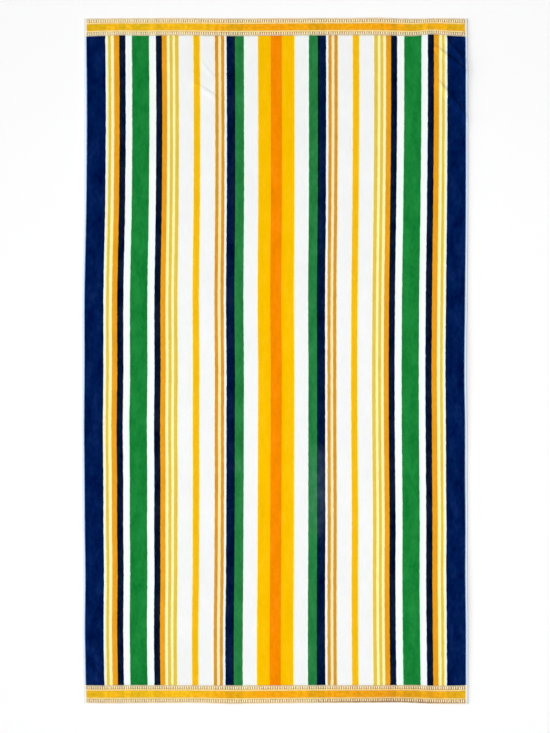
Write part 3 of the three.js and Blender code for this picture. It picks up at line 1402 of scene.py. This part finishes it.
@dataclass
class LaidBars:
    """Many bars of one shape, sunk a little into the cloth and scattered by chance, as one piece."""

    name: str
    finish: Finish
    loaf: Loaf
    sink: float = 0.25
    jitter: float = 0.0
    lean: float = 0.0
    seed: int = 0

    # Whether a bar is coloured by the place of its middle, or by each place that it crosses
    one_place_each: bool = True

    def centres(self) -> np.ndarray:
        """Where the bars' middles are meant to be, across and along."""
        raise NotImplementedError

    def build(self) -> Object:
        """Lay a bar at each centre.

        Returns:
            The piece.
        """
        chance = np.random.default_rng(self.seed)
        centres = self.centres()
        centres = centres + chance.uniform(-self.jitter, self.jitter, centres.shape)
        skews = chance.uniform(-self.lean, self.lean, len(centres))
        mould, faces = self.loaf.mould()
        across = (centres[:, :1] + mould[:, 0] + skews[:, None] * mould[:, 1]).ravel()
        along = (centres[:, 1:] + mould[:, 1]).ravel()
        rise = CLOTH.thickness(across, along) - self.sink + np.tile(mould[:, 2], len(centres))
        points = CLOTH.lay(across, along, rise)
        places = np.column_stack([across, along])
        if self.one_place_each:
            places = np.repeat(centres, len(mould), axis=0)
        firsts = np.arange(len(centres))[:, None] * len(mould)
        laid: Faces = []
        for face in faces:
            laid.extend(map(tuple, (firsts + np.array(face)).tolist()))
        return make_piece(self.name, points, laid, places, [self.finish])


@dataclass
class TickRows(LaidBars):
    """Two rows of short cream floats across each border."""

    name: str = "tick_floats"
    finish: Finish = TICK_YARN
    loaf: Loaf = Loaf(
        width=4.1,
        length=6.2,
        height=0.9,
        shares=(-1.0, -0.86, 0.0, 0.86, 1.0),
        swells=(0.45, 0.88, 1.0, 0.88, 0.45),
    )
    jitter: float = 0.45
    lean: float = 0.05
    seed: int = 11
    pitch: float = 5.85
    margin: float = 9.0
    inward_at_top: tuple[float, ...] = (6.9, 38.7)
    inward_at_bottom: tuple[float, ...] = (7.3, 39.0)

    def centres(self) -> np.ndarray:
        """Where the floats of all four rows are meant to be.

        Returns:
            Their middles, across and along.
        """
        count = int((CLOTH.width - 2 * self.margin) / self.pitch) + 1
        across = CLOTH.width / 2 + self.pitch * (np.arange(count) - (count - 1) / 2)
        places = [CLOTH.end_place(End.TOP, inward) for inward in self.inward_at_top]
        places += [CLOTH.end_place(End.BOTTOM, inward) for inward in self.inward_at_bottom]
        return np.concatenate([row_of(across, along) for along in places])


@dataclass
class GoldBands(LaidBars):
    """Weft floats of the gold band of each border, in a slanting twill."""

    name: str = "gold_floats"
    finish: Finish = GOLD_YARN
    loaf: Loaf = Loaf(
        width=1.4,
        length=4.2,
        height=0.45,
        shares=(-1.0, 0.0, 1.0),
        swells=(0.5, 1.0, 0.5),
        arc=3,
        runs_across=True,
    )
    sink: float = 0.1
    jitter: float = 0.12
    seed: int = 23
    inward: tuple[float, float] = (15.2, 30.0)
    picks: int = 11
    repeat: float = 5.0
    step: float = 1.25
    margin: float = 8.5

    def centres(self) -> np.ndarray:
        """Where the floats of both bands are meant to be.

        Returns:
            Their middles, across and along.
        """
        rows = []
        for end in End:
            for pick, inward in enumerate(np.linspace(*self.inward, self.picks)):
                start = self.margin + (pick * self.step) % self.repeat
                across = np.arange(start, CLOTH.width - self.margin, self.repeat)
                rows.append(row_of(across, CLOTH.end_place(end, inward)))
        return np.concatenate(rows)


@dataclass
class PaleLines(LaidBars):
    """Pale cords that edge the gold band of each border."""

    name: str = "pale_cords"
    finish: Finish = PALE_YARN
    loaf: Loaf = Loaf.cord(width=1.5, length=986.0, height=0.75, stations=125)
    sink: float = 0.2
    one_place_each: bool = False
    inward: tuple[float, ...] = (12.0, 13.4, 32.2, 33.7)

    def centres(self) -> np.ndarray:
        """Where the middles of all the cords are."""
        places = [CLOTH.end_place(end, inward) for end in End for inward in self.inward]
        return row_of(CLOTH.width / 2, places)


@dataclass
class PileEdge(LaidBars):
    """Tufts along the edge of the pile, where it stands up against the borders and selvedges."""

    name: str = "pile_edge_tufts"
    finish: Finish = VELOUR
    loaf: Loaf = Loaf(
        width=2.5,
        length=2.7,
        height=1.3,
        shares=(-1.0, 0.0, 1.0),
        swells=(0.45, 1.0, 0.45),
    )
    sink: float = 0.5
    jitter: float = 0.35
    lean: float = 0.3
    seed: int = 37
    pitch: float = 2.2
    depths: tuple[float, ...] = (0.6, 2.4)

    def centres(self) -> np.ndarray:
        """Where the tufts round the pile are meant to be.

        Returns:
            Their middles, across and along.
        """
        rows = []
        for number, depth in enumerate(self.depths):
            side = CLOTH.selvedge_width + depth
            end = CLOTH.border_depth + depth
            offset = number * self.pitch / 2
            across = np.arange(side + offset, CLOTH.width - side, self.pitch)
            along = np.arange(end + offset, CLOTH.length - end, self.pitch)
            rows += [row_of(across, place) for place in (end, CLOTH.length - end)]
            rows += [row_of(place, along) for place in (side, CLOTH.width - side)]
        return np.concatenate(rows)


@dataclass
class SelvedgeStitching(LaidBars):
    """A row of short stitches down each selvedge."""

    name: str = "selvedge_stitches"
    finish: Finish = STITCH_THREAD
    loaf: Loaf = Loaf(
        width=1.3,
        length=3.9,
        height=0.55,
        shares=(-1.0, -0.75, 0.0, 0.75, 1.0),
        swells=(0.4, 0.85, 1.0, 0.85, 0.4),
    )
    sink: float = 0.2
    jitter: float = 0.2
    lean: float = 0.05
    seed: int = 53
    pitch: float = 6.0
    inward: float = 2.5

    def centres(self) -> np.ndarray:
        """Where the stitches of both selvedges are meant to be."""
        along = np.arange(self.pitch / 2, CLOTH.length, self.pitch)
        return np.concatenate([row_of(side, along) for side in (self.inward, CLOTH.width - self.inward)])


@dataclass
class Studio:
    """A pale floor under soft light, and a camera straight above, in metres and degrees."""

    floor_size: float = 14.0
    floor_drop: float = 0.0003
    floor_colour: tuple[float, ...] = (0.93, 0.93, 0.93, 1.0)
    floor_roughness: float = 0.9

    # Lens and sensor in millimetres, and the height and middle of what the camera sees
    lens: float = 85.0
    sensor: float = 36.0
    view_height: float = 1.9058
    view_centre: tuple[float, float] = (0.00015, -0.0143)

    # Strengths, directions and widths of the lights
    overhead: float = 0.56
    overhead_angle: float = 70.0
    key: float = 0.22
    key_elevation: float = 19.0
    key_bearing: float = 185.0
    key_angle: float = 34.0
    sky: float = 0.16
    fill: float = 8.0
    fill_place: tuple[float, float, float] = (0.0, -0.3, 2.0)
    fill_size: float = 1.2

    def floor(self) -> Object:
        """Lay the floor.

        Returns:
            The floor.
        """
        half = self.floor_size / 2
        corners = [(-half, -half), (half, -half), (half, half), (-half, half)]
        mesh = bpy.data.meshes.new("floor")
        mesh.from_pydata([(x, y, -self.floor_drop) for x, y in corners], [], [(0, 1, 2, 3)])
        material = bpy.data.materials.new("pale_floor")
        material.use_nodes = True
        graph = Graph(material.node_tree)
        feeds = {
            "Base Color": self.floor_colour,
            "Roughness": self.floor_roughness,
            "Specular IOR Level": 0.0,
        }
        shader = graph.node("ShaderNodeBsdfPrincipled", feeds)
        graph.node("ShaderNodeOutputMaterial", {"Surface": shader.outputs[0]})
        mesh.materials.append(material)
        floor = bpy.data.objects.new("floor", mesh)
        bpy.context.scene.collection.objects.link(floor)
        return floor

    def lamp(self, name: str, kind: str, energy: float, width: float) -> Object:
        """Add a soft lamp that points straight down.

        Args:
            name: The lamp's name.
            kind: Blender's name for the kind of lamp.
            energy: Its strength.
            width: Its angle for a sun, or its size.

        Returns:
            The lamp.
        """
        data = bpy.data.lights.new(name, kind)
        data.energy = energy
        if kind == "SUN":
            data.angle = math.radians(width)
        else:
            data.size = width
        lamp = bpy.data.objects.new(name, data)
        lamp.visible_camera = False
        bpy.context.scene.collection.objects.link(lamp)
        return lamp

    def light(self) -> None:
        """Light the floor from above, from the low left and from all round."""
        self.lamp("overhead", "SUN", self.overhead * math.pi, self.overhead_angle)
        slant = math.sin(math.radians(self.key_elevation))
        key = self.lamp("key", "SUN", self.key * math.pi / slant, self.key_angle)
        key.rotation_euler = (0, math.radians(90 - self.key_elevation), math.radians(self.key_bearing))
        fill = self.lamp("fill", "AREA", self.fill, self.fill_size)
        fill.location = self.fill_place
        world = bpy.data.worlds.new("studio")
        world.use_nodes = True
        graph = Graph(world.node_tree)
        seen = graph.node("ShaderNodeLightPath").outputs["Is Camera Ray"]
        horizon = self.floor_colour[0] * (self.overhead + self.key + self.sky)
        strength = graph.between(seen, self.sky, horizon)
        sky = graph.node("ShaderNodeBackground", {"Color": WHITE_LIGHT, "Strength": strength})
        graph.node("ShaderNodeOutputWorld", {"Surface": sky.outputs[0]})
        bpy.context.scene.world = world

    def camera(self) -> Object:
        """Set the camera straight above the towel.

        Returns:
            The camera.
        """
        data = bpy.data.cameras.new("camera")
        data.lens = self.lens
        data.sensor_width = self.sensor
        camera = bpy.data.objects.new("camera", data)
        height = self.view_height * self.lens / self.sensor + CLOTH.pile_thickness * METRES
        camera.location = (*self.view_centre, height)
        bpy.context.scene.collection.objects.link(camera)
        bpy.context.scene.camera = camera
        return camera

    def build(self) -> None:
        """Set up the camera, the floor and the light."""
        self.camera()
        self.floor()
        self.light()
        bpy.context.scene.view_settings.view_transform = "Standard"


def main() -> None:
    """Build the studio, then the towel's pieces in order."""
    logging.basicConfig(level=logging.INFO, format="%(name)s: %(message)s")
    Studio().build()
    sheet = TowelSheet().build()
    trims = [maker().build() for maker in (TickRows, GoldBands, PaleLines, PileEdge, SelvedgeStitching)]
    for piece in (sheet, *trims):
        log.info("%s: %d faces", piece.name, len(piece.data.polygons))


if __name__ == "__main__":
    main()
